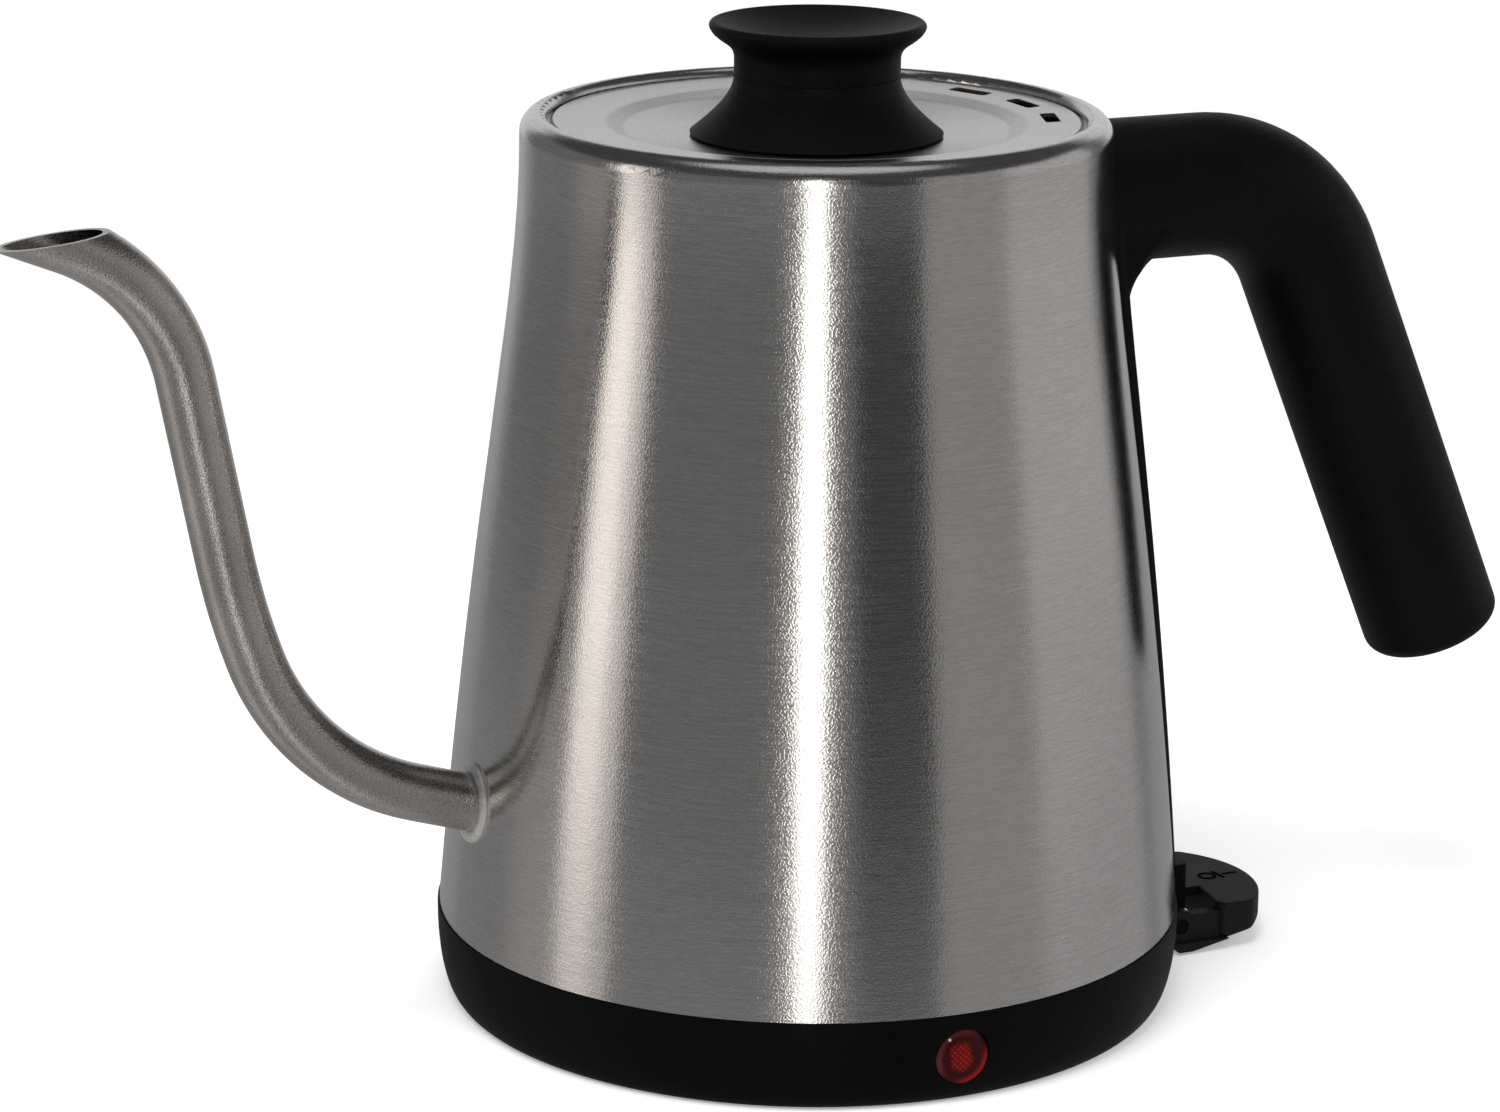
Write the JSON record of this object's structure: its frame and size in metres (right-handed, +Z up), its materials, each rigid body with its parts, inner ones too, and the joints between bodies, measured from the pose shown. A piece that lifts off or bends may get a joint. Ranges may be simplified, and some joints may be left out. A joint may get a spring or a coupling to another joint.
{
  "type": "electric gooseneck kettle",
  "caption": "Electric kettle with a tapered brushed steel body, curved pouring spout, lift-off lid with a flared knob, black open handle, black base with an indicator and a switch lever.",
  "frame": {"origin": "on the body axis at the table, in the plane of the base ring's foot", "axes": "+Z up along the body axis, spout towards -X, handle and switch lever towards +X, indicator towards -Y"},
  "size_m": [0.3008, 0.1406, 0.1844],
  "materials": {
    "brushed_body_steel": "stainless steel, fine brushing round the body",
    "spout_steel": "satin stainless steel, slightly warm",
    "lid_steel": "light satin stainless steel",
    "inner_steel": "plain stainless sheet",
    "soft_black_plastic": "matte black moulding, soft to the touch",
    "base_black_plastic": "matte black moulding",
    "lever_plastic": "dark grey moulding",
    "red_lens": "translucent red moulding",
    "lamp_glass": "small neon lamp",
    "heater_aluminium": "plain plate",
    "element_sheath": "tubular element sheath",
    "control_plastic": "heat resistant moulding",
    "contact_brass": "plain brass",
    "spring_metal": "snap disc",
    "silicone": "translucent white silicone",
    "duct_plastic": "heat resistant moulding",
    "wire_sleeve": "silicone sleeved wire",
    "fastener_steel": "plain steel"
  },
  "bodies": {
    "kettle": {"base_cover": "base_black_plastic", "base_ring": "base_black_plastic", "base_screws": "fastener_steel", "base_seal": "silicone", "body_shell": "brushed_body_steel", "contact_blade": "contact_brass", "control_body": "control_plastic", "control_nuts": "fastener_steel", "coupler_socket": "control_plastic", "earth_pin": "contact_brass", "element_terminals": "contact_brass", "element_wires": "wire_sleeve", "floor_posts": "inner_steel", "handle_bracket": "inner_steel", "handle_end_plug": "soft_black_plastic", "handle_grip": "soft_black_plastic", "handle_screw": "fastener_steel", "heater_plate": "heater_aluminium", "heater_studs": "inner_steel", "heating_element": "element_sheath", "indicator_lamp": "lamp_glass", "indicator_lens": "red_lens", "lamp_leads": "wire_sleeve", "lever_pin": "fastener_steel", "live_contact": "contact_brass", "neutral_contact": "contact_brass", "overheat_discs": "spring_metal", "spout_collar": "spout_steel", "spout_tube": "spout_steel", "steam_disc": "spring_metal", "steam_duct": "duct_plastic", "steam_seal": "silicone", "switch_block": "control_plastic", "vessel_floor": "inner_steel"},
    "lid": {"lid_plate": "lid_steel", "lid_pan": "lid_steel", "lid_seal": "silicone", "knob_base": "soft_black_plastic", "knob_cap": "soft_black_plastic", "knob_insert": "contact_brass", "knob_washer": "fastener_steel", "knob_screw": "fastener_steel"},
    "lever": {"switch_lever": "lever_plastic"},
    "plunger": {"switch_plunger": "control_plastic"}
  },
  "joints": [
    {"name": "lid_lift", "type": "slide", "parent": "kettle", "child": "lid", "axis": [0, 0, 1], "range_m": [0, 0.06]},
    {"name": "lever_hinge", "type": "hinge", "parent": "kettle", "child": "lever", "pos_m": [0.073, 0, 0.0055], "axis": [0, 1, 0], "range_deg": [0, 11]},
    {"name": "plunger_slide", "type": "slide", "parent": "kettle", "child": "plunger", "axis": [0, 0, 1], "range_m": [0, 0.0032]}
  ],
  "couplings": [
    {"joint": "plunger_slide", "follows": "lever_hinge", "m_per_rad": 0.0164}
  ]
}
